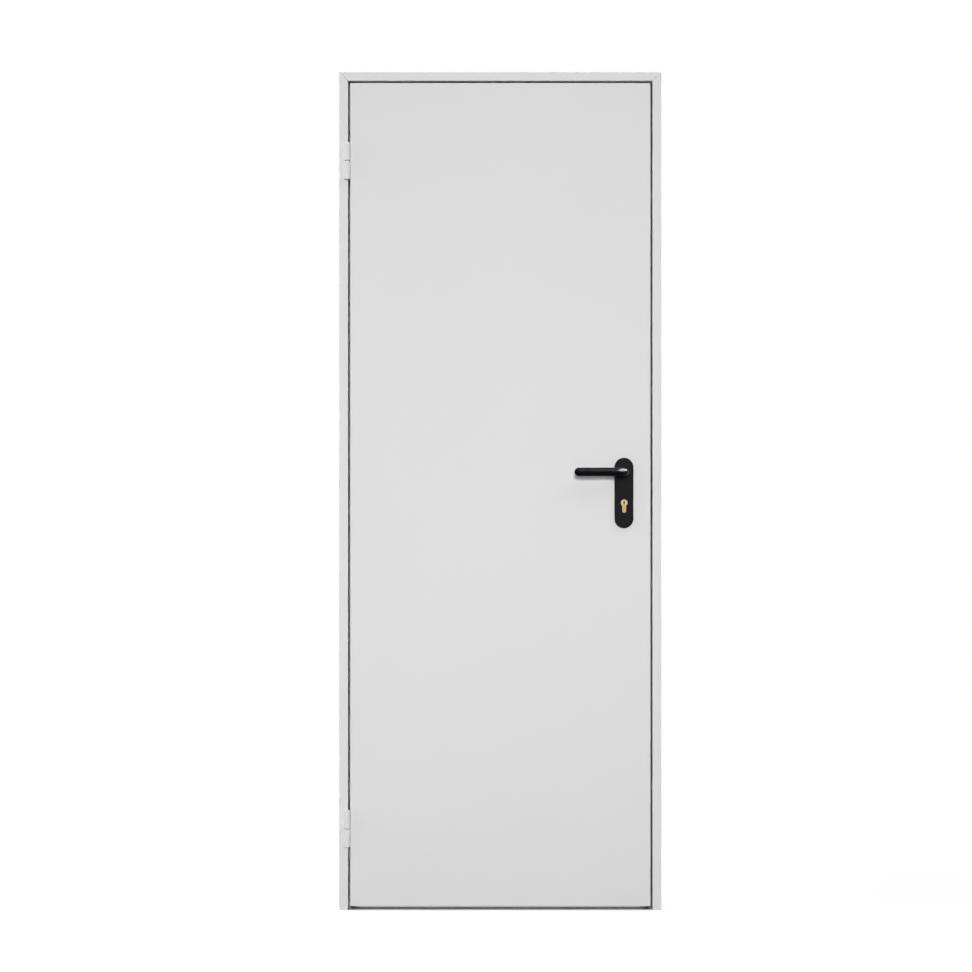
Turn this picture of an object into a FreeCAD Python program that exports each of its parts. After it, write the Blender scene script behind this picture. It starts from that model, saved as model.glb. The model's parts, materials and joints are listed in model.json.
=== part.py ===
"""A steel utility door: a flush leaf of two folded skins round a honeycomb core, hung on two lift-off
hinges in a three-sided frame of folded sheet. Each face has a lever handle on a long plate and one end
of a profile cylinder.

Millimetres. +X runs from the hinge jamb to the lock jamb, +Y goes back into the wall, +Z is up.
The origin is on the hinge jamb's lip that bears on the wall, at floor level, midway along that lip's depth.
The front is the side that the leaf opens towards, with the hinge knuckles on it.
"""

import FreeCAD, Part
import math
import os

V = FreeCAD.Vector

# Frame
frame_width = 790.0
frame_height = 2055.0
face_width = 22.0
sheet = 1.5
bend_inside = 0.6
wall_lip = 14.0
stop_width = 15.0
stop_depth = 15.0
mitre_gap = 0.6

# Leaf
leaf_thickness = 45.0
edge_gap = 5.0
floor_gap = 10.0
skin = 0.8
skin_bend = 1.8
seam_depth = 30.0
seam_gap = 0.3

# Seals on the stop, which the back of the leaf closes against
seal_space = 3.0
seal_touch = 0.5
seal_width = 12.0
seal_base = 1.2
seal_edge = 1.0
seal_shoulder = 3.0

# Fixing holes through the jambs into the wall
fixing_hole_d = 10.5
fixing_depth = 24.0
fixing_end = 300.0
fixing_from_lock = 242.5

# Hinges
knuckle_d = 15.0
knuckle_length = 44.5
knuckle_chamfer = 1.2
knuckle_clear = 0.5
axis_from_edge = 1.5
washer_thickness = 1.0
pin_d = 8.0
pin_fit = 0.05
pin_grip = 36.0
wing_thickness = 2.5
wing_depth = 32.0
wing_root = 3.5
top_hinge_drop = 219.5
bottom_hinge_height = 201.5

# Lock
backset = 65.0
spindle_height = 1074.0
cylinder_drop = 75.0
case_depth = 90.0
case_thickness = 16.0
case_margin = 45.0
spindle_side = 8.0
hole_room = 2.0
faceplate_width = 24.0
faceplate_height = 235.0
faceplate_thickness = 3.0
faceplate_inset = 0.2
faceplate_fit = 0.3
faceplate_screw_inset = 10.0
screw_d = 4.0
screw_head_d = 7.5
screw_length = 20.0
recess_span = 4.2
recess_width = 1.0
recess_depth = 1.4
bolt_thickness = 12.0
bolt_fit = 0.3
latch_height = 32.0
latch_length = 30.0
latch_bevel = 10.0
latch_lip = 2.0
latch_raise = 6.0
dead_height = 24.0
dead_length = 34.0

# Keep in the lock jamb
strike_height = 190.0
strike_width = 26.0
strike_corner = 4.0
strike_screw_inset = 9.0
strike_window = 16.0
strike_room = 4.0
strike_surround = 10.0
keep_depth = 16.0
keep_wall = 1.5
keep_margin = 8.0

# Handle plates
plate_width = 46.0
plate_height = 172.0
plate_thickness = 9.0
plate_edge = 3.0
plate_above_spindle = 35.0

# Lever handles
lever_d = 21.5
neck_d = 18.0
neck_fit = 0.05
neck_seat = 0.5
shoulder_clear = 1.0
lever_reach = 49.0
lever_length = 123.5
lever_bend = 20.0
lever_socket = 24.0
shoulder_edge = 1.5

# Profile cylinder
cylinder_length = 70.0
cylinder_round_d = 17.0
cylinder_slot = 10.0
cylinder_height = 33.0
cylinder_fit = 0.25
cylinder_chamfer = 0.4
plug_d = 13.0
plug_fit = 0.05
plug_length = 29.0
plug_bottom = 0.5
plug_chamfer = 0.25
keyway_width = 2.2
keyway_height = 8.4
keyway_step = 1.1
keyway_step_height = 2.8
keyway_depth = 22.0

# Places that follow from those
front = -wall_lip / 2
rebate_depth = leaf_thickness + seal_space
frame_depth = rebate_depth + stop_depth
opening_left = face_width
opening_right = frame_width - face_width
leaf_left = opening_left + edge_gap
leaf_right = opening_right - edge_gap
leaf_bottom = floor_gap
leaf_top = frame_height - face_width - edge_gap
leaf_front = front
leaf_back = front + leaf_thickness
leaf_middle = (leaf_front + leaf_back) / 2
faceplate_front = leaf_right - faceplate_inset
faceplate_back = faceplate_front - faceplate_thickness
spindle_x = faceplate_front - backset
cylinder_height_above_floor = spindle_height - cylinder_drop
case_bottom = cylinder_height_above_floor - case_margin
case_top = spindle_height + case_margin
lock_middle = (case_bottom + case_top) / 2
latch_middle = spindle_height + latch_raise
dead_middle = cylinder_height_above_floor
faceplate_screw_span = faceplate_height - 2 * faceplate_screw_inset
strike_screw_span = strike_height - 2 * strike_screw_inset
top_hinge_height = frame_height - top_hinge_drop
axis_x = opening_left - axis_from_edge
axis_y = front - knuckle_clear - knuckle_d / 2
plate_top = spindle_height + plate_above_spindle
outer_bend = bend_inside + sheet
fold = rebate_depth - bend_inside

# How far a cut runs past the face that it opens, and the distances taken as none and as level
beyond = 1.0
none = 1e-6
flat = 1e-3

os.makedirs("parts", exist_ok=True)


def save(name, shape):
    """Writes one named piece as its own file."""
    shape.exportStep("parts/" + name + ".step")


def box(x0, x1, y0, y1, z0, z1):
    """A block between two opposite corners."""
    return Part.makeBox(x1 - x0, y1 - y0, z1 - z0, V(x0, y0, z0))


def rod(radius, start, end):
    """A round bar between two points."""
    return Part.makeCylinder(radius, (end - start).Length, start, end - start)


def outline(corners):
    """A closed wire through corners given as (point, radius), each corner rounded by an arc of its radius."""
    edges = []
    starts = []
    ends = []
    count = len(corners)
    for i, (point, radius) in enumerate(corners):
        before = (corners[i - 1][0] - point).normalize()
        after = (corners[(i + 1) % count][0] - point).normalize()
        if radius == 0:
            starts.append(point)
            ends.append(point)
            continue
        half_turn = before.getAngle(after) / 2
        reach = radius / math.tan(half_turn)
        towards_centre = (before + after).normalize()
        middle = point + towards_centre * (radius / math.sin(half_turn) - radius)
        starts.append(point + before * reach)
        ends.append(point + after * reach)
        edges.append(Part.Arc(starts[i], middle, ends[i]).toShape())
    for i in range(count):
        following = starts[(i + 1) % count]
        if ends[i].distanceToPoint(following) > none:
            edges.append(Part.LineSegment(ends[i], following).toShape())
    return Part.Wire(Part.__sortEdges__(edges))


def prism(corners, along):
    """A solid made by moving a rounded outline along a vector."""
    return Part.Face(outline(corners)).extrude(along)


def edges_at(solid, y):
    """The edges of a solid that lie in one plane across Y."""
    return [e for e in solid.Edges if abs(e.BoundBox.YMin - y) < flat and abs(e.BoundBox.YMax - y) < flat]


def span(a, b):
    """Two values in rising order."""
    return min(a, b), max(a, b)


# Frame members. A section is drawn as (across, deep, radius): across from the wall side, deep from the front.


def face_section():
    """The front of the folded sheet: wall lip, face and the bend into the rebate."""
    return [
        (0, wall_lip, 0),
        (0, 0, outer_bend),
        (face_width, 0, outer_bend),
        (face_width, outer_bend, 0),
        (face_width - sheet, outer_bend, 0),
        (face_width - sheet, sheet, bend_inside),
        (sheet, sheet, bend_inside),
        (sheet, wall_lip, 0),
    ]


def rebate_section():
    """The flat wall of the rebate, between the face's bend and the stop's."""
    return [
        (face_width, outer_bend, 0),
        (face_width, fold, 0),
        (face_width - sheet, fold, 0),
        (face_width - sheet, outer_bend, 0),
    ]


def stop_section():
    """The back of the folded sheet: the bend at the foot of the rebate, the stop, back face and wall lip."""
    stop_edge = face_width + stop_width
    return [
        (face_width, fold, 0),
        (face_width, rebate_depth, bend_inside),
        (stop_edge, rebate_depth, outer_bend),
        (stop_edge, frame_depth, outer_bend),
        (0, frame_depth, outer_bend),
        (0, frame_depth - wall_lip, 0),
        (sheet, frame_depth - wall_lip, 0),
        (sheet, frame_depth - sheet, bend_inside),
        (stop_edge - sheet, frame_depth - sheet, bend_inside),
        (stop_edge - sheet, rebate_depth + sheet, bend_inside),
        (face_width - sheet, rebate_depth + sheet, outer_bend),
        (face_width - sheet, fold, 0),
    ]


def seal_section():
    """A flat base stuck to the stop, with a low round bulb for the leaf to press on."""
    near = face_width + seal_edge
    far = near + seal_width
    crown = leaf_thickness + seal_touch
    foot = rebate_depth - seal_base
    middle = (near + far) / 2
    return [
        (near, rebate_depth, 0),
        (near, foot, 0),
        (near + seal_shoulder, foot, 0),
        (middle, crown, seal_shoulder),
        (far - seal_shoulder, foot, 0),
        (far, foot, 0),
        (far, rebate_depth, 0),
    ]


def upright(section, left, low):
    """A section run up one side of the frame and mitred to the head."""
    corners = [(V(a if left else frame_width - a, front + d, low), r) for a, d, r in section]
    bar = prism(corners, V(0, 0, frame_height - low))
    return bar.cut(mitre(left, mitre_gap / math.sqrt(2), True))


def head(section):
    """A section run across the top of the frame and mitred to both uprights."""
    corners = [(V(0, front + d, frame_height - a), r) for a, d, r in section]
    bar = prism(corners, V(frame_width, 0, 0))
    for left in (True, False):
        bar = bar.cut(mitre(left, mitre_gap / math.sqrt(2), False))
    return bar


def mitre(left, shift, above):
    """The wedge to cut away on one side of a top corner's mitre line, moved off the line by the shift."""
    reach = face_width + stop_width + frame_depth
    step = -shift if above else shift
    outer = (-reach, frame_height + reach + step)
    inner = (reach, frame_height - reach + step)
    square = (reach, frame_height + reach + step) if above else (-reach, frame_height - reach + step)
    points = []
    for x, z in (outer, inner, square):
        points.append((V(x if left else frame_width - x, front - reach, z), 0))
    return prism(points, V(0, frame_depth + 2 * reach, 0))


def fixing_holes(left):
    """Holes through one jamb's rebate wall for its fixings: one near each end, two about the lock."""
    wall = opening_left if left else opening_right
    beside_lock = (lock_middle - fixing_from_lock, lock_middle + fixing_from_lock)
    reach = V(sheet + beyond, 0, 0)
    holes = []
    for height in (fixing_end, *beside_lock, frame_height - fixing_end):
        centre = V(wall, front + fixing_depth, height)
        holes.append(rod(fixing_hole_d / 2, centre - reach, centre + reach))
    return Part.makeCompound(holes)


def edge_plate(x0, x1, width, height, radius):
    """A plate across the leaf's edge, centred on the lock, with round corners."""
    corners = []
    for y, z in ((-1, -1), (1, -1), (1, 1), (-1, 1)):
        corners.append((V(x0, leaf_middle + y * width / 2, lock_middle + z * height / 2), radius))
    return prism(corners, V(x1 - x0, 0, 0))


def strike_block(x0, x1):
    """The strike plate's outline on the rebate wall."""
    return edge_plate(x0, x1, strike_width, strike_height, strike_corner)


def lock_rebate():
    """The lock jamb's rebate wall in three lengths: round the strike plate, and below and above it."""
    strike_cut = strike_block(opening_right - beyond, opening_right + sheet + beyond)
    wall = upright(rebate_section(), False, 0).cut([fixing_holes(False), strike_cut])
    reach = strike_height / 2 + strike_surround
    low, high = lock_middle - reach, lock_middle + reach
    for name, bottom, top in (
        ("lock_jamb_rebate_lower", -beyond, low),
        ("lock_jamb_strike_surround", low, high),
        ("lock_jamb_rebate_upper", high, frame_height),
    ):
        length = box(opening_right - beyond, frame_width, front, front + frame_depth, bottom, top)
        save(name, wall.common(length))


def make_frame():
    """The two jambs and the head, each in a face, a rebate wall and a stop, with a seal on the stop."""
    save("hinge_jamb_face", upright(face_section(), True, 0))
    save("hinge_jamb_rebate", upright(rebate_section(), True, 0).cut(fixing_holes(True)))
    save("hinge_jamb_stop", upright(stop_section(), True, 0))
    save("lock_jamb_face", upright(face_section(), False, 0))
    lock_rebate()
    save("lock_jamb_stop", upright(stop_section(), False, 0))
    save("head_face", head(face_section()))
    save("head_rebate", head(rebate_section()))
    save("head_stop", head(stop_section()))
    save("hinge_side_seal", upright(seal_section(), True, floor_gap))
    save("lock_side_seal", upright(seal_section(), False, floor_gap))
    save("head_seal", head(seal_section()))


def bolt_windows(x0, x1, width, room):
    """The two openings that the latch and the dead bolt pass through."""
    low, high = leaf_middle - width / 2, leaf_middle + width / 2
    cuts = []
    for middle, height in ((latch_middle, latch_height), (dead_middle, dead_height)):
        half = height / 2 + room
        cuts.append(box(x0, x1, low, high, middle - half, middle + half))
    return Part.makeCompound(cuts)


def make_keep():
    """The strike plate let in flush with the lock jamb's rebate wall, and the closed box behind it."""
    plate = strike_block(opening_right, opening_right + sheet)
    window_end = opening_right + sheet + beyond
    plate = plate.cut(bolt_windows(opening_right - beyond, window_end, strike_window, strike_room / 2))
    pair = screws(opening_right, 1, strike_screw_span)
    save("strike_plate", plate.cut(Part.makeCompound(pair)))
    save("strike_screws", Part.makeCompound(pair).cut(screw_recesses(opening_right, 1, strike_screw_span)))
    back = opening_right + sheet + keep_depth
    half_width = strike_window / 2 + keep_wall + strike_room / 2
    low = dead_middle - dead_height / 2 - keep_margin
    high = latch_middle + latch_height / 2 + keep_margin
    shell = box(opening_right + sheet, back, leaf_middle - half_width, leaf_middle + half_width, low, high)
    inside = box(
        opening_right + sheet - beyond,
        back - keep_wall,
        leaf_middle - half_width + keep_wall,
        leaf_middle + half_width - keep_wall,
        low + keep_wall,
        high - keep_wall,
    )
    save("keep_box", shell.cut(inside))


# Hinges


def knuckle(low):
    """A plain barrel standing on the hinge axis, with both ends chamfered."""
    barrel = Part.makeCylinder(knuckle_d / 2, knuckle_length, V(axis_x, axis_y, low))
    rims = [edge for edge in barrel.Edges if isinstance(edge.Curve, Part.Circle)]
    return barrel.makeChamfer(knuckle_chamfer, rims)


def make_hinge(name, height):
    """One lift-off hinge: a frame wing with the fixed pin below, a washer, and a leaf wing above."""
    lower = height - washer_thickness / 2 - knuckle_length
    upper = height + washer_thickness / 2
    wing_low = lower + knuckle_chamfer
    wing_tall = knuckle_length - 2 * knuckle_chamfer
    back = front + wing_depth
    neck = axis_y + wing_root
    pin_low = height - washer_thickness / 2 - pin_grip
    pin_high = height + washer_thickness / 2 + pin_grip
    seat = rod(pin_d / 2, V(axis_x, axis_y, pin_low), V(axis_x, axis_y, height))
    bore = rod(pin_d / 2 + pin_fit, V(axis_x, axis_y, pin_low), V(axis_x, axis_y, pin_high + pin_fit))
    frame_wing = box(opening_left, opening_left + wing_thickness, neck, back, wing_low, wing_low + wing_tall)
    leaf_wing = box(
        leaf_left - wing_thickness,
        leaf_left,
        neck,
        back,
        upper + knuckle_chamfer,
        upper + knuckle_chamfer + wing_tall,
    )
    washer_low = V(axis_x, axis_y, lower + knuckle_length)
    washer = Part.makeCylinder(knuckle_d / 2 - knuckle_chamfer, washer_thickness, washer_low)
    save(name + "_frame_wing", knuckle(lower).fuse(frame_wing).removeSplitter().cut(seat))
    save(name + "_leaf_wing", knuckle(upper).fuse(leaf_wing).removeSplitter().cut(bore))
    save(name + "_pin", rod(pin_d / 2, V(axis_x, axis_y, pin_low), V(axis_x, axis_y, pin_high)))
    save(name + "_washer", washer.cut(bore))


# Leaf


def profile_cylinder(grow, y0, y1):
    """The keyhole-shaped bar of a profile cylinder, grown all round."""
    centre = V(spindle_x, y0, cylinder_height_above_floor)
    slot_radius = cylinder_slot / 2
    slot_drop = cylinder_height - cylinder_round_d / 2 - slot_radius
    along = V(0, y1 - y0, 0)
    round_bar = rod(cylinder_round_d / 2 + grow, centre, centre + along)
    foot = centre - V(0, 0, slot_drop)
    foot_bar = rod(slot_radius + grow, foot, foot + along)
    web = box(
        spindle_x - slot_radius - grow,
        spindle_x + slot_radius + grow,
        y0,
        y1,
        foot.z,
        centre.z,
    )
    return round_bar.fuse([foot_bar, web]).removeSplitter()


def through_leaf(grow):
    """What passes through the leaf at the lock: the spindle's hole and the cylinder's hole."""
    start = V(spindle_x, leaf_front - beyond, spindle_height)
    spindle = rod(neck_d / 2 + grow, start, start + V(0, leaf_thickness + 2 * beyond, 0))
    return spindle.fuse(profile_cylinder(grow, leaf_front - beyond, leaf_back + beyond))


def faceplate_block(grow, x0, x1):
    """The lock faceplate's outline in the leaf edge, with round ends, grown all round."""
    width = faceplate_width + 2 * grow
    return edge_plate(x0, x1, width, faceplate_height + 2 * grow, width / 2)


def lock_block():
    """The lock case's block behind the faceplate."""
    return box(
        faceplate_back - case_depth,
        faceplate_back,
        leaf_middle - case_thickness / 2,
        leaf_middle + case_thickness / 2,
        case_bottom,
        case_top,
    )


def screws(face, into, spacing):
    """Two countersunk screws above and below the lock, with their heads level with a face."""
    pair = []
    for side in (-1, 1):
        head = V(face, leaf_middle, lock_middle + side * spacing / 2)
        along = V(into, 0, 0)
        sink = (screw_head_d - screw_d) / 2
        cone = Part.makeCone(screw_head_d / 2, screw_d / 2, sink, head, along)
        shank = rod(screw_d / 2, head, head + along * screw_length)
        pair.append(cone.fuse(shank).removeSplitter())
    return pair


def screw_recesses(face, into, spacing):
    """The crossed slots in the heads of those two screws."""
    slots = []
    for side in (-1, 1):
        z = lock_middle + side * spacing / 2
        depth = span(face - into * beyond, face + into * recess_depth)
        for wide, tall in ((recess_span / 2, recess_width / 2), (recess_width / 2, recess_span / 2)):
            slots.append(box(*depth, leaf_middle - wide, leaf_middle + wide, z - tall, z + tall))
    return slots


def tray(y_face, y_rim):
    """An open tray of thin sheet, with its face at one depth and its folded rim ending at another."""
    shell = box(leaf_left, leaf_right, *span(y_face, y_rim), leaf_bottom, leaf_top)
    shell = shell.makeFillet(skin_bend, edges_at(shell, y_face))
    inward = skin if y_rim > y_face else -skin
    hollow = filling(*span(y_face + inward, y_rim + inward))
    hollow = hollow.makeFillet(skin_bend - skin, edges_at(hollow, y_face + inward))
    return shell.cut(hollow)


def filling(y0, y1):
    """The room between the folded rims of the skins, from one depth to another."""
    return box(leaf_left + skin, leaf_right - skin, y0, y1, leaf_bottom + skin, leaf_top - skin)


def make_leaf():
    """The two skins that meet in the leaf edge, and the honeycomb core that they are glued to."""
    edge_cut = faceplate_block(faceplate_fit, faceplate_back, leaf_right + beyond)
    openings = through_leaf(hole_room).fuse(edge_cut)
    seam = leaf_front + seam_depth
    front_skin = tray(leaf_front, seam - seam_gap / 2).cut(openings)
    back_skin = tray(leaf_back, seam + seam_gap / 2).cut(openings)
    core = filling(leaf_front + skin, leaf_back - skin)
    rims = edges_at(core, leaf_front + skin) + edges_at(core, leaf_back - skin)
    core = core.makeFillet(skin_bend - skin, rims)
    core = core.cut(openings.fuse([lock_block()] + screws(faceplate_front, -1, faceplate_screw_span)))
    save("leaf_front_skin", front_skin)
    save("leaf_back_skin", back_skin)
    save("leaf_core", core)


def bolt(middle, height, length):
    """A plain bolt bar with its nose level with the faceplate."""
    return box(
        faceplate_front - length,
        faceplate_front,
        leaf_middle - bolt_thickness / 2,
        leaf_middle + bolt_thickness / 2,
        middle - height / 2,
        middle + height / 2,
    )


def make_lock():
    """The mortise lock: its case, its faceplate, and the two bolts, both drawn in."""
    latch = bolt(latch_middle, latch_height, latch_length)
    latch_low = latch_middle - latch_height / 2
    slope = [
        (V(faceplate_front - latch_bevel, leaf_middle + bolt_thickness / 2, latch_low), 0),
        (V(faceplate_front, leaf_middle - bolt_thickness / 2 + latch_lip, latch_low), 0),
        (V(faceplate_front, leaf_middle + bolt_thickness / 2, latch_low), 0),
    ]
    latch = latch.cut(prism(slope, V(0, 0, latch_height)))
    dead = bolt(dead_middle, dead_height, dead_length)
    width = bolt_thickness + 2 * bolt_fit
    plate = faceplate_block(0, faceplate_back, faceplate_front)
    plate = plate.cut(bolt_windows(faceplate_back - beyond, faceplate_front + beyond, width, bolt_fit))
    case = lock_block().cut(through_leaf(0))
    for middle, height, length in (
        (latch_middle, latch_height, latch_length),
        (dead_middle, dead_height, dead_length),
    ):
        half = height / 2 + bolt_fit
        low, high = leaf_middle - width / 2, leaf_middle + width / 2
        case = case.cut(box(faceplate_front - length, leaf_right, low, high, middle - half, middle + half))
    save("lock_case", case)
    pair = screws(faceplate_front, -1, faceplate_screw_span)
    save("lock_faceplate", plate.cut(Part.makeCompound(pair)))
    recesses = screw_recesses(faceplate_front, -1, faceplate_screw_span)
    save("faceplate_screws", Part.makeCompound(pair).cut(recesses))
    save("latch_bolt", latch)
    save("dead_bolt", dead)


def handle_plate(outside):
    """A long plate with round ends on one face of the leaf, bored for the lever and cut for the cylinder."""
    base = leaf_front if outside else leaf_back
    along = V(0, -plate_thickness if outside else plate_thickness, 0)
    half = plate_width / 2
    corners = []
    for x, z in ((-half, -plate_height), (half, -plate_height), (half, 0), (-half, 0)):
        corners.append((V(spindle_x + x, base, plate_top + z), half))
    slab = prism(corners, along)
    slab = slab.makeFillet(plate_edge, edges_at(slab, base + along.y))
    start = V(spindle_x, base, spindle_height)
    bore = rod(neck_d / 2 + neck_fit, start, start + along)
    return slab.cut(bore).cut(profile_cylinder(cylinder_fit, *span(base, base + along.y)))


def plug_end(outside):
    """The end of the cylinder on one side, as (depth of the end, direction back into the leaf)."""
    half = cylinder_length / 2
    return (leaf_middle - half, 1) if outside else (leaf_middle + half, -1)


def keyway(y0, y1):
    """The slot for the key, with a narrow step along one side."""
    half = keyway_width / 2
    z = cylinder_height_above_floor
    tall = keyway_height / 2
    slot = box(spindle_x - half, spindle_x + half, y0, y1, z - tall, z + tall)
    tall = keyway_step_height / 2
    step = box(spindle_x - half - keyway_step, spindle_x + half, y0, y1, z - tall, z + tall)
    return slot.fuse(step)


def make_cylinder():
    """The profile cylinder's body, with a blind bore at each end, and the two plugs that turn in them."""
    ends = (leaf_middle - cylinder_length / 2, leaf_middle + cylinder_length / 2)
    body = profile_cylinder(0, *ends)
    body = body.makeChamfer(cylinder_chamfer, edges_at(body, ends[0]) + edges_at(body, ends[1]))
    for outside in (True, False):
        end, inward = plug_end(outside)
        mouth = V(spindle_x, end, cylinder_height_above_floor)
        into = V(0, inward, 0)
        body = body.cut(rod(plug_d / 2 + plug_fit, mouth, mouth + into * (plug_length + plug_bottom)))
        plug = rod(plug_d / 2, mouth, mouth + into * plug_length)
        plug = plug.makeChamfer(plug_chamfer, edges_at(plug, end))
        plug = plug.cut(keyway(*span(end, end + inward * keyway_depth)))
        save("outside_plug" if outside else "inside_plug", plug)
    save("lock_cylinder", body)


# Lever handles


def square_bar(y0, y1):
    """The square spindle's section on its axis, from one depth to another."""
    half = spindle_side / 2
    return box(spindle_x - half, spindle_x + half, y0, y1, spindle_height - half, spindle_height + half)


def lever(outside):
    """A round bar lever: a neck that turns in its plate, a quarter bend, and a grip ending in a half ball."""
    face = leaf_front if outside else leaf_back
    out = -1 if outside else 1
    radius = lever_d / 2

    def at(x, reach):
        return V(spindle_x + x, face + out * reach, spindle_height)

    shoulder = at(0, plate_thickness + shoulder_clear)
    neck = rod(neck_d / 2, at(0, neck_seat), shoulder + V(0, out * shoulder_edge, 0))
    stem = rod(radius, shoulder, at(0, lever_reach - lever_bend))
    stem = stem.makeFillet(shoulder_edge, edges_at(stem, shoulder.y))
    circle = Part.Face(Part.Wire(Part.Circle(at(0, lever_reach - lever_bend), V(0, 1, 0), radius).toShape()))
    bend = circle.revolve(at(-lever_bend, lever_reach - lever_bend), V(0, 0, out), 90)
    grip = rod(radius, at(-lever_bend, lever_reach), at(radius - lever_length, lever_reach))
    ball = Part.makeSphere(radius, at(radius - lever_length, lever_reach))
    solid = neck.fuse([stem, bend, grip, ball]).removeSplitter()
    return solid.cut(square_bar(*span(at(0, neck_seat - beyond).y, at(0, neck_seat + lever_socket).y)))


def make_handles():
    """The handle plates, the levers and the square spindle that joins the levers."""
    for outside, side in ((True, "outside"), (False, "inside")):
        save(side + "_plate", handle_plate(outside))
        save(side + "_lever", lever(outside))
    reach = lever_socket + neck_seat
    save("lever_spindle", square_bar(leaf_front - reach, leaf_back + reach))


make_frame()
make_keep()
make_hinge("top_hinge", top_hinge_height)
make_hinge("bottom_hinge", bottom_hinge_height)
make_leaf()
make_lock()
make_cylinder()
make_handles()
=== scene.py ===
"""The looks of the steel utility door: a finish for every piece, the studio round it and the camera.

Metres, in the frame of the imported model: +X from the hinge jamb to the lock jamb, +Y into the wall, +Z up.
"""

import json
import math

import bpy
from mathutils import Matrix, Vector


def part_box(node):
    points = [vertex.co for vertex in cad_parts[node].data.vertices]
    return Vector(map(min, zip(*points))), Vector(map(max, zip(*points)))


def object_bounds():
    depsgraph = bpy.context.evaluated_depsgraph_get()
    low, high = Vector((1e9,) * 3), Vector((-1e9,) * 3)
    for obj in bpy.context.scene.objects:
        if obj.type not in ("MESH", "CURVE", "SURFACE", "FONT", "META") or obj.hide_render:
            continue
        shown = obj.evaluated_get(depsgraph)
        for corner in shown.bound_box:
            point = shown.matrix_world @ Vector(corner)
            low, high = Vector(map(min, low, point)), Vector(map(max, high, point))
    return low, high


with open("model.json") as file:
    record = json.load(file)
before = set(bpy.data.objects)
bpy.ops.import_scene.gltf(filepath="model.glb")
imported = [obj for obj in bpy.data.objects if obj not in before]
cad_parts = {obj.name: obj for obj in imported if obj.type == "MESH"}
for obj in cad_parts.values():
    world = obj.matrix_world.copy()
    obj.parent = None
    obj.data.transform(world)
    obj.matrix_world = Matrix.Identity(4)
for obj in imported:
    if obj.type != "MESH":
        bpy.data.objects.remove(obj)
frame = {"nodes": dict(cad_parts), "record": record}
cad_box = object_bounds()

mm = 0.001
white = (1.0, 1.0, 1.0)

# Camera, level and square to the door, at about the height of its middle
camera_place = (0.360, -4.507, 1.040)
lens_mm = 68.0
sensor_mm = 36.0

# Key light: a square softbox over and behind the camera
key_place = (0.376, -9.00, 2.50)
key_target = (0.395, 0.0, 0.80)
key_size = 1.4
key_spread = 70.0
key_power = 88.5
key_colour = (1.0, 0.985, 0.965)

# Side light: a square cool softbox, high on the lock side
side_azimuth = 40.0
side_elevation = 40.0
side_distance = 5.5
side_size = 1.6
side_power = 30.0
side_colour = (0.80, 0.91, 1.0)

# Window: a wide cool light past the lock side, which only the outside lever reflects
window_azimuth = 84.0
window_elevation = 46.0
window_distance = 3.0
window_width = 6.5
window_height = 2.4
window_power = 2600.0
window_colour = (0.78, 0.92, 1.0)

# Spot: a light above the camera, which only the outside plate and the brass in it reflect
spot_place = (0.70, -4.20, 2.30)
spot_size = 2.2
spot_power = 42.0

# Fill: a weak light from the hinge side
fill_azimuth = -76.0
fill_elevation = 6.0
fill_distance = 4.5
fill_size = 2.0
fill_power = 32.0
fill_colour = (1.0, 0.99, 0.96)

# Edge lights: one past each side of the door, just behind its front, for the outer sides and the wall side
edge_azimuths = (108.0, -108.0)
edge_powers = (200.0, 130.0)
edge_elevation = 15.0
edge_distance = 5.5
edge_size = 2.6
edge_colour = (1.0, 0.995, 0.985)

# Back light: a broad softbox for the wall side of the door
back_azimuth = 205.0
back_elevation = 58.0
back_distance = 4.6
back_size = 3.0
back_power = 120.0

# Room light on the door, from the horizon up
ambient_horizon = 0.06
ambient_zenith = 0.60

# Room in reflections: low down, and high up to the sides, in front and behind
reflected_low = 0.32
reflected_side = 0.80
reflected_front = 1.20
high_from = 0.35
high_to = 0.85
side_from = 0.25
side_to = 0.75

# Rays that see the background in place of the room light
seeing_rays = ("Is Camera Ray", "Is Glossy Ray", "Is Transmission Ray")

# Floor: its colour for the light that it sends on, and in reflections
floor_half = 40.0
floor_colour = 0.26
floor_reflected = 0.15

# Floor for the camera: plain white in front of the door, and keeping its soft shadow behind it
floor_white = 1.6
floor_white_behind = 1.06
behind_from = 0.0
behind_to = 0.05

# Floor for the camera in the slot under the leaf: painted shade, darkest where the slot closes in
slot_reach = 30 * mm
slot_shade = 0.04
slot_from = 0.16
slot_to = 0.28

# Distances from the door over which the floor turns into plain background
fade_start = 0.35
fade_end = 1.05

# Paint on the frame, the leaf and the hinges
frame_grey = (0.704, 0.696, 0.705)
leaf_grey = (0.702, 0.701, 0.712)
hinge_grey = (0.699, 0.696, 0.704)
paint_roughness = 0.46
hinge_roughness = 0.38

# Nylon of the levers and of the handle plates, black with a little violet, and how strongly each mirrors
lever_black = (0.0013, 0.0006, 0.0013)
lever_roughness = 0.29
lever_level = 0.12
lever_grain = 0.008 * mm
plate_black = (0.0062, 0.0040, 0.0076)
plate_roughness = 0.50
plate_level = 0.20
plate_grain = 0.014 * mm

# Steel, and brass from its dull to its bright patches
steel_grey = (0.66, 0.67, 0.68)
turned_dull = (0.74, 0.61, 0.40)
turned_bright = (0.90, 0.77, 0.55)
milled_dull = (0.62, 0.44, 0.18)
milled_bright = (0.78, 0.58, 0.28)

# Rubber, and the paper of the core, with painted shade for the hollow middle of its cells
rubber_black = (0.010, 0.010, 0.011)
rubber_dusty = (0.022, 0.022, 0.023)
paper_wall = (0.42, 0.28, 0.15)
cell_hollow_shade = (0.16, 0.10, 0.05)

# Painted shade in slots and corners: a dark colour put where shade falls
painted_crease_shade = (0.012, 0.009, 0.006)

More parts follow.
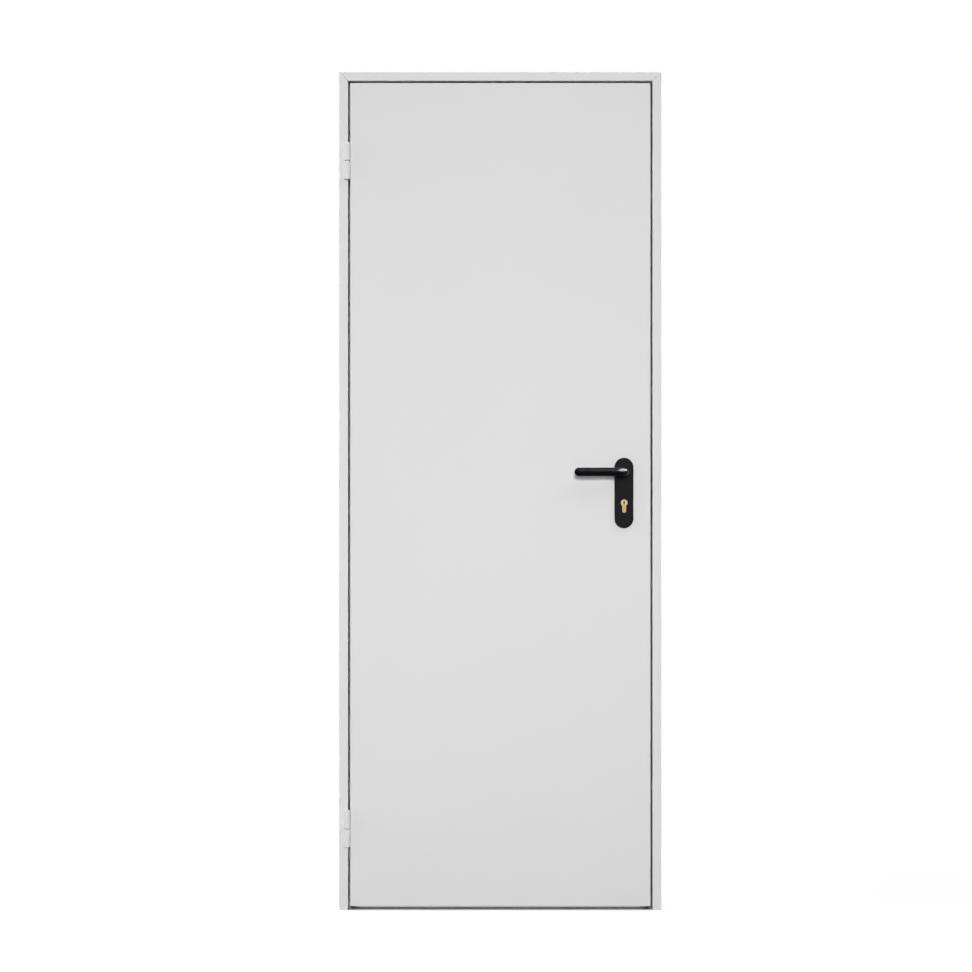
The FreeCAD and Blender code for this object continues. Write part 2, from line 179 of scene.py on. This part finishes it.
# Painted shade round the keyway's mouth on the plug, which widens its dark slot: how far from the middle it
# is at its full, and where it ends
keyway_mouth_shade = (0.10, 0.07, 0.04)
keyway_mouth_shade_full_x = 1.2 * mm
keyway_mouth_shade_full_z = 3.6 * mm
keyway_mouth_shade_end_x = 2.6 * mm
keyway_mouth_shade_end_z = 5.2 * mm
brass_through_shade = 0.15

# Samples of the rounded edges and of the dark in corners
edge_samples = 6
corner_samples = 8

# The wave texture runs through this many radians in one unit of its scale
wave_rate = 20


def new_material(name):
    """A material with its node tree, its shader and the coordinates of the piece it is on."""
    material = bpy.data.materials.new(name)
    material.use_nodes = True
    tree = material.node_tree
    shader = tree.nodes["Principled BSDF"]
    place = tree.nodes.new("ShaderNodeTexCoord").outputs["Object"]
    return material, tree, shader, place


def feed(tree, socket, value):
    """Gives a socket a number or a colour of its own, or links it to what makes its value."""
    if isinstance(value, bpy.types.NodeSocket):
        tree.links.new(value, socket)
    elif isinstance(value, tuple):
        socket.default_value = (*value, 1.0)
    else:
        socket.default_value = value


def maths(tree, operation, *values):
    """One sum on numbers or outputs."""
    node = tree.nodes.new("ShaderNodeMath")
    node.operation = operation
    for socket, value in zip(node.inputs, values):
        feed(tree, socket, value)
    return node.outputs["Value"]


def spread(tree, value, at_zero, at_one):
    """A value from 0 to 1 spread between two others."""
    node = tree.nodes.new("ShaderNodeMapRange")
    node.inputs["To Min"].default_value = at_zero
    node.inputs["To Max"].default_value = at_one
    tree.links.new(value, node.inputs["Value"])
    return node.outputs["Result"]


def smooth(tree, value, start, end):
    """0 before start, 1 after end, and a smooth rise between them."""
    node = tree.nodes.new("ShaderNodeMapRange")
    node.interpolation_type = "SMOOTHSTEP"
    node.inputs["From Min"].default_value = start
    node.inputs["From Max"].default_value = end
    tree.links.new(value, node.inputs["Value"])
    return node.outputs["Result"]


def blend(tree, factor, first, second, kind="RGBA"):
    """A colour between two colours, or a number between two numbers for the kind FLOAT."""
    mix = tree.nodes.new("ShaderNodeMix")
    mix.data_type = kind
    for name, value in (("Factor", factor), ("A", first), ("B", second)):
        feed(tree, mix.inputs[name], value)
    return mix.outputs["Result"]


def blend_shaders(tree, factor, first, second):
    """One shader, or another where the factor is 1."""
    node = tree.nodes.new("ShaderNodeMixShader")
    for socket, value in zip(node.inputs, (factor, first, second)):
        tree.links.new(value, socket)
    return node.outputs["Shader"]


def scaled(colour, factor):
    """A colour made lighter or darker."""
    return tuple(part * factor for part in colour)


def clouded(tree, cloud, colour, swing):
    """A colour that a cloud makes darker and lighter by a share."""
    return blend(tree, cloud, scaled(colour, 1 - swing), scaled(colour, 1 + swing))


def swung(tree, cloud, centre, swing):
    """A number that a cloud makes lower and higher."""
    return spread(tree, cloud, centre - swing, centre + swing)


def split(tree, place):
    """The outputs X, Y and Z of coordinates."""
    node = tree.nodes.new("ShaderNodeSeparateXYZ")
    tree.links.new(place, node.inputs["Vector"])
    return node.outputs


def moved(tree, place, centre=(0, 0, 0), stretch=(1, 1, 1)):
    """Coordinates taken from a centre and stretched."""
    for operation, operand in (("SUBTRACT", centre), ("MULTIPLY", stretch)):
        node = tree.nodes.new("ShaderNodeVectorMath")
        node.operation = operation
        node.inputs[1].default_value = operand
        tree.links.new(place, node.inputs[0])
        place = node.outputs["Vector"]
    return place


def noise(tree, place, cell, detail, roughness=0.5):
    """Cloudy values from 0 to 1, with lumps of about one cell."""
    texture = tree.nodes.new("ShaderNodeTexNoise")
    texture.inputs["Scale"].default_value = 1 / cell
    texture.inputs["Detail"].default_value = detail
    texture.inputs["Roughness"].default_value = roughness
    tree.links.new(place, texture.inputs["Vector"])
    return texture.outputs["Fac"]


def rings(tree, place, pitch):
    """Fine turned rings round the Y axis of the coordinates."""
    texture = tree.nodes.new("ShaderNodeTexWave")
    texture.wave_type = "RINGS"
    texture.rings_direction = "Y"
    texture.inputs["Scale"].default_value = math.tau / (wave_rate * pitch)
    texture.inputs["Distortion"].default_value = 1.5
    texture.inputs["Detail"].default_value = 2.0
    texture.inputs["Detail Scale"].default_value = 0.4
    tree.links.new(place, texture.inputs["Vector"])
    return texture.outputs["Fac"]


def bump(tree, height, depth, normal=None):
    """A surface normal that follows a height, over one that is there already."""
    node = tree.nodes.new("ShaderNodeBump")
    node.inputs["Distance"].default_value = depth
    tree.links.new(height, node.inputs["Height"])
    if normal is not None:
        tree.links.new(normal, node.inputs["Normal"])
    return node.outputs["Normal"]


def eased_edges(tree, radius):
    """A surface normal that rounds sharp edges by a small radius."""
    node = tree.nodes.new("ShaderNodeBevel")
    node.samples = edge_samples
    node.inputs["Radius"].default_value = radius
    return node.outputs["Normal"]


def openness(tree, reach, low, high, own_piece=False):
    """0 deep in a slot or corner narrower than a reach, and 1 on an open face."""
    node = tree.nodes.new("ShaderNodeAmbientOcclusion")
    node.samples = corner_samples
    node.only_local = own_piece
    node.inputs["Distance"].default_value = reach
    return smooth(tree, node.outputs["AO"], low, high)


def keyway_unshaded(tree, about):
    """1 away from the keyway, and less in the band round its mouth where shade is painted."""
    parts = split(tree, about)
    across = smooth(tree, maths(tree, "ABSOLUTE", parts["X"]), keyway_mouth_shade_full_x, keyway_mouth_shade_end_x)
    along = smooth(tree, maths(tree, "ABSOLUTE", parts["Z"]), keyway_mouth_shade_full_z, keyway_mouth_shade_end_z)
    clean = maths(tree, "MAXIMUM", across, along)
    return spread(tree, clean, brass_through_shade, 1.0)


def wire_shader(tree, shader, colour, roughness, normal, level=0.5, metallic=0.0):
    """Feeds a shader the colour, roughness and normal of its finish."""
    feed(tree, shader.inputs["Base Color"], colour)
    feed(tree, shader.inputs["Roughness"], roughness)
    feed(tree, shader.inputs["Normal"], normal)
    shader.inputs["Specular IOR Level"].default_value = level
    shader.inputs["Metallic"].default_value = metallic


def powder_paint(name, colour, roughness, shade_creases=False):
    """Baked powder paint: slight waves in the sheet, orange peel, a fine grit, soft drifts in tone, and
    painted shade in creases and corners where asked.
    """
    material, tree, shader, place = new_material(name)
    drift = noise(tree, place, cell=350 * mm, detail=3.0)
    gloss = noise(tree, place, cell=60 * mm, detail=4.0)
    sheet_wave = noise(tree, place, cell=280 * mm, detail=1.0)
    peel = noise(tree, place, cell=2.2 * mm, detail=1.0)
    grit = noise(tree, place, cell=0.5 * mm, detail=2.0)
    shade = clouded(tree, drift, colour, swing=0.015)
    if shade_creases:
        # Painted shade: the paint made darker in creases and corners close to other pieces, where shade
        # falls
        shade = blend(tree, openness(tree, reach=3 * mm, low=0.25, high=0.60), painted_crease_shade, shade)
    normal = bump(tree, sheet_wave, depth=0.8 * mm, normal=eased_edges(tree, radius=0.8 * mm))
    normal = bump(tree, peel, depth=0.035 * mm, normal=normal)
    normal = bump(tree, grit, depth=0.012 * mm, normal=normal)
    wire_shader(tree, shader, shade, swung(tree, gloss, roughness, swing=0.05), normal, level=0.45)
    return material


def black_nylon(name, colour, roughness, level, depth):
    """Moulded nylon with a fine even grain, and soft patches of more gloss, as hands leave them."""
    material, tree, shader, place = new_material(name)
    cloud = noise(tree, place, cell=6 * mm, detail=3.0)
    worn = noise(tree, place, cell=18 * mm, detail=3.0)
    grain = noise(tree, place, cell=0.45 * mm, detail=2.0)
    shade = clouded(tree, cloud, colour, swing=0.15)
    normal = bump(tree, grain, depth, eased_edges(tree, radius=0.4 * mm))
    wire_shader(tree, shader, shade, swung(tree, worn, roughness, swing=0.04), normal, level=level)
    return material


def turned_brass(name, centre):
    """Brass with fine rings from the lathe about a centre, with painted shade in the keyway and round its
    mouth.
    """
    material, tree, shader, place = new_material(name)
    about = moved(tree, place, centre)
    ring = rings(tree, about, pitch=0.35 * mm)
    dull = noise(tree, place, cell=3 * mm, detail=4.0)
    shade = blend(tree, dull, turned_dull, turned_bright)
    # Painted shade: a dark band round the keyway's mouth, standing in for the dark of the keyway
    shade = blend(tree, keyway_unshaded(tree, about), keyway_mouth_shade, shade)
    # Painted shade: the brass made dark deep in the keyway, where shade falls
    mouth = openness(tree, reach=4 * mm, low=0.45, high=0.90, own_piece=True)
    shade = blend(tree, mouth, painted_crease_shade, shade)
    normal = bump(tree, ring, depth=0.006 * mm, normal=eased_edges(tree, radius=0.25 * mm))
    uneven = spread(tree, dull, at_zero=0.40, at_one=0.26)
    wire_shader(tree, shader, shade, uneven, normal, metallic=1.0)
    return material


def milled_brass(name):
    """Brass with fine upright marks from the milling cutter."""
    material, tree, shader, place = new_material(name)
    streak = noise(tree, moved(tree, place, stretch=(1, 1, 0.06)), cell=0.25 * mm, detail=2.0)
    dull = noise(tree, place, cell=4 * mm, detail=4.0)
    shade = blend(tree, dull, milled_dull, milled_bright)
    normal = bump(tree, streak, depth=0.010 * mm, normal=eased_edges(tree, radius=0.25 * mm))
    uneven = spread(tree, dull, at_zero=0.42, at_one=0.30)
    wire_shader(tree, shader, shade, uneven, normal, metallic=1.0)
    return material


def brushed_steel(name, colour):
    """Zinc-plated steel brushed upright, with soft patches where the plating is duller."""
    material, tree, shader, place = new_material(name)
    upright = moved(tree, place, stretch=(1, 1, 0.02))
    streak = noise(tree, upright, cell=1.6 * mm, detail=5.0, roughness=0.7)
    patch = noise(tree, place, cell=25 * mm, detail=4.0)
    half_each = maths(tree, "MULTIPLY", maths(tree, "ADD", streak, patch), 0.5)
    shade = clouded(tree, half_each, colour, swing=0.45)
    normal = bump(tree, streak, depth=0.05 * mm, normal=eased_edges(tree, radius=0.3 * mm))
    uneven = spread(tree, streak, at_zero=0.20, at_one=0.46)
    wire_shader(tree, shader, shade, uneven, normal, metallic=1.0)
    return material


def seal_rubber(name):
    """Extruded rubber: a dull black skin with faint upright lines and a dusty bloom."""
    material, tree, shader, place = new_material(name)
    bloom = noise(tree, place, cell=30 * mm, detail=4.0)
    line = noise(tree, moved(tree, place, stretch=(1, 1, 0.02)), cell=0.6 * mm, detail=2.0)
    shade = blend(tree, bloom, rubber_black, rubber_dusty)
    uneven = spread(tree, bloom, at_zero=0.55, at_one=0.72)
    wire_shader(tree, shader, shade, uneven, bump(tree, line, depth=0.03 * mm), level=0.35)
    return material


def paper_honeycomb(name):
    """Brown paper cells that run through the thickness of the leaf, painted darker in the middle of each
    cell as shade down the hollow.
    """
    cell = 14 * mm
    material, tree, shader, place = new_material(name)
    cells = tree.nodes.new("ShaderNodeTexVoronoi")
    cells.feature = "DISTANCE_TO_EDGE"
    cells.inputs["Scale"].default_value = 1 / cell
    cells.inputs["Randomness"].default_value = 0.35
    tree.links.new(moved(tree, place, stretch=(1, 0, 1)), cells.inputs["Vector"])
    # Painted shade: each cell darker towards its hollow middle
    shade = blend(tree, cells.outputs["Distance"], paper_wall, cell_hollow_shade)
    normal = bump(tree, cells.outputs["Distance"], depth=2 * mm)
    wire_shader(tree, shader, shade, roughness=0.85, normal=normal)
    return material


def middle(node):
    """The centre of a piece's box."""
    low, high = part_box(node)
    return (low + high) / 2


def dress_pieces():
    """Gives every piece of the frame the finish of its slot, or one of its own."""
    finishes = {
        "frame_paint": powder_paint("frame_paint", frame_grey, paint_roughness),
        "leaf_paint": powder_paint("leaf_paint", leaf_grey, paint_roughness),
        # Hinge paint with painted shade in its creases and corners
        "hinge_paint": powder_paint("hinge_paint", hinge_grey, hinge_roughness, shade_creases=True),
        "seal_rubber": seal_rubber("seal_rubber"),
        "bare_steel": brushed_steel("bare_steel", steel_grey),
        "cylinder_brass": milled_brass("cylinder_brass"),
        "black_nylon": black_nylon("black_nylon", lever_black, lever_roughness, lever_level, lever_grain),
        "honeycomb": paper_honeycomb("honeycomb"),
    }
    plate_nylon = black_nylon("plate_nylon", plate_black, plate_roughness, plate_level, plate_grain)
    plug_brass = turned_brass("plug_brass", middle("outside_plug"))
    special = {
        "outside_plate": plate_nylon,
        "inside_plate": plate_nylon,
        "outside_plug": plug_brass,
        "inside_plug": plug_brass,
    }
    for part in frame["record"]["subparts"]:
        name = part["node"]
        finish = special.get(name, finishes[part["material_slot"]])
        for slot in frame["nodes"][name].material_slots:
            slot.material = finish


def ray_kind(tree, *kinds):
    """1 for a ray of any of these kinds, else 0."""
    path = tree.nodes.new("ShaderNodeLightPath")
    value = path.outputs[kinds[0]]
    for kind in kinds[1:]:
        value = maths(tree, "MAXIMUM", value, path.outputs[kind])
    return value


def white_for_camera(tree, reflected):
    """A strength of 1 for the camera, and another in reflections."""
    return blend(tree, ray_kind(tree, "Is Camera Ray"), reflected, 1.0, "FLOAT")


def reflected_room(tree, height, straight):
    """The room in reflections: dim low down, and brightest high up, straight in front or behind."""
    facing = smooth(tree, maths(tree, "ABSOLUTE", straight), side_from, side_to)
    high_up = spread(tree, facing, reflected_side, reflected_front)
    return blend(tree, smooth(tree, height, high_from, high_to), reflected_low, high_up, "FLOAT")


def glow(tree, kind, strength):
    """The shader of a background or emission node that gives white light."""
    node = tree.nodes.new(kind)
    feed(tree, node.inputs["Color"], white)
    tree.links.new(strength, node.inputs["Strength"])
    return node.outputs[0]


def light_room():
    """The world: soft light on the door, white for the camera, and an uneven room in reflections."""
    world = bpy.data.worlds.new("studio")
    world.use_nodes = True
    bpy.context.scene.world = world
    tree = world.node_tree
    tree.nodes.clear()
    way = split(tree, tree.nodes.new("ShaderNodeTexCoord").outputs["Generated"])
    height = maths(tree, "MAXIMUM", way["Z"], 0.0)
    room = glow(tree, "ShaderNodeBackground", spread(tree, height, ambient_horizon, ambient_zenith))
    seen = white_for_camera(tree, reflected_room(tree, height, way["Y"]))
    backdrop = glow(tree, "ShaderNodeBackground", seen)
    surface = blend_shaders(tree, ray_kind(tree, *seeing_rays), room, backdrop)
    tree.links.new(surface, tree.nodes.new("ShaderNodeOutputWorld").inputs["Surface"])


def floor_shade(tree, spot):
    """The floor's colour: grey for the light that it sends on, and for the camera white, with painted shade
    in the slot.
    """
    own = spread(tree, ray_kind(tree, "Is Glossy Ray"), floor_colour, floor_reflected)
    behind = smooth(tree, spot["Y"], behind_from, behind_to)
    open_white = spread(tree, behind, floor_white, floor_white_behind)
    # Painted shade: the floor dark for the camera where the slot under the leaf closes in
    seen = blend(tree, openness(tree, slot_reach, slot_from, slot_to), slot_shade, open_white, "FLOAT")
    return blend(tree, ray_kind(tree, "Is Camera Ray"), own, seen, "FLOAT")


def distance_off(tree, spot):
    """How far a spot on the floor lies outside the door's box."""
    low, high = cad_box
    squares = []
    for axis, name in enumerate(("X", "Y")):
        centre = (low[axis] + high[axis]) / 2
        half = (high[axis] - low[axis]) / 2
        offset = maths(tree, "ABSOLUTE", maths(tree, "SUBTRACT", spot[name], centre))
        beyond = maths(tree, "MAXIMUM", maths(tree, "SUBTRACT", offset, half), 0.0)
        squares.append(maths(tree, "POWER", beyond, 2.0))
    return maths(tree, "SQRT", maths(tree, "ADD", *squares))


def floor_material():
    """White floor that keeps the shadow near the door and turns into plain background further off."""
    material = bpy.data.materials.new("floor")
    material.use_nodes = True
    tree = material.node_tree
    tree.nodes.clear()
    spot = split(tree, tree.nodes.new("ShaderNodeNewGeometry").outputs["Position"])
    lit = tree.nodes.new("ShaderNodeBsdfDiffuse")
    tree.links.new(floor_shade(tree, spot), lit.inputs["Color"])
    plain = glow(tree, "ShaderNodeEmission", white_for_camera(tree, reflected_low))
    fade = smooth(tree, distance_off(tree, spot), fade_start, fade_end)
    far = maths(tree, "MULTIPLY", fade, ray_kind(tree, *seeing_rays))
    surface = blend_shaders(tree, far, lit.outputs["BSDF"], plain)
    tree.links.new(surface, tree.nodes.new("ShaderNodeOutputMaterial").inputs["Surface"])
    return material


def lay_floor():
    """A wide floor at the feet of the jambs."""
    mesh = bpy.data.meshes.new("floor")
    reach = floor_half
    corners = [(-reach, -reach, 0), (reach, -reach, 0), (reach, reach, 0), (-reach, reach, 0)]
    mesh.from_pydata(corners, [], [(0, 1, 2, 3)])
    mesh.materials.append(floor_material())
    floor = bpy.data.objects.new("floor", mesh)
    bpy.context.scene.collection.objects.link(floor)


def aim(thing, place, target):
    """Puts a light or camera in place and turns it to a target."""
    thing.location = place
    thing.rotation_mode = "QUATERNION"
    thing.rotation_quaternion = (Vector(target) - Vector(place)).to_track_quat("-Z", "Y")


def softbox(name, place, target, width, height, power, colour, fan=180.0):
    """A rectangular area light that the camera doesn't see."""
    lamp = bpy.data.lights.new(name, "AREA")
    lamp.shape = "RECTANGLE"
    lamp.size = width
    lamp.size_y = height
    lamp.energy = power
    lamp.color = colour
    lamp.spread = math.radians(fan)
    holder = bpy.data.objects.new(name, lamp)
    bpy.context.scene.collection.objects.link(holder)
    holder.visible_camera = False
    aim(holder, place, target)
    return holder


def light_only(holder, nodes):
    """Keeps a light to some of the pieces, or to the door alone."""
    lit = bpy.data.collections.new(holder.name + "_lights")
    for node in nodes:
        lit.objects.link(frame["nodes"][node])
    holder.light_linking.receiver_collection = lit


def around(target, azimuth, elevation, distance):
    """A place at a distance from a target: azimuth 0 is in front of the door and 90 on its lock side."""
    turn = math.radians(azimuth)
    rise = math.radians(elevation)
    way = Vector((math.sin(turn) * math.cos(rise), -math.cos(turn) * math.cos(rise), math.sin(rise)))
    return Vector(target) + way * distance


def light_front():
    """The key and the side light, which reflections don't show."""
    handle = middle("outside_plate")
    key = softbox("key", key_place, key_target, key_size, key_size, key_power, key_colour, key_spread)
    key.visible_glossy = False
    place = around(handle, side_azimuth, side_elevation, side_distance)
    side = softbox("side", place, handle, side_size, side_size, side_power, side_colour)
    side.visible_glossy = False


def light_handle():
    """The window and the spot, which only reflections on the handle and the cylinder show."""
    handle = middle("outside_plate")
    place = around(handle, window_azimuth, window_elevation, window_distance)
    window = softbox("window", place, handle, window_width, window_height, window_power, window_colour)
    window.visible_diffuse = False
    light_only(window, ("outside_lever",))
    spot = softbox("spot", spot_place, middle("outside_plug"), spot_size, spot_size, spot_power, key_colour)
    spot.visible_diffuse = False
    light_only(spot, ("lock_cylinder", "outside_plug", "outside_plate"))


def light_sides():
    """The fill, the edge lights, which light only the door, and the back light."""
    door = (cad_box[0] + cad_box[1]) / 2
    place = around(door, fill_azimuth, fill_elevation, fill_distance)
    fill = softbox("fill", place, door, fill_size, fill_size, fill_power, fill_colour)
    fill.visible_glossy = False
    for azimuth, power in zip(edge_azimuths, edge_powers):
        place = around(door, azimuth, edge_elevation, edge_distance)
        edge = softbox("edge", place, door, edge_size, edge_size, power, edge_colour)
        edge.visible_glossy = False
        light_only(edge, frame["nodes"])
    place = around(door, back_azimuth, back_elevation, back_distance)
    softbox("back", place, door, back_size, back_size, back_power, white)


def place_camera():
    """The camera, which looks along +Y."""
    camera = bpy.data.cameras.new("camera")
    camera.lens = lens_mm
    camera.sensor_width = sensor_mm
    holder = bpy.data.objects.new("camera", camera)
    bpy.context.scene.collection.objects.link(holder)
    x, y, z = camera_place
    aim(holder, camera_place, (x, y + 1, z))
    bpy.context.scene.camera = holder


dress_pieces()
light_room()
lay_floor()
light_front()
light_handle()
light_sides()
place_camera()
bpy.context.scene.view_settings.view_transform = "Standard"
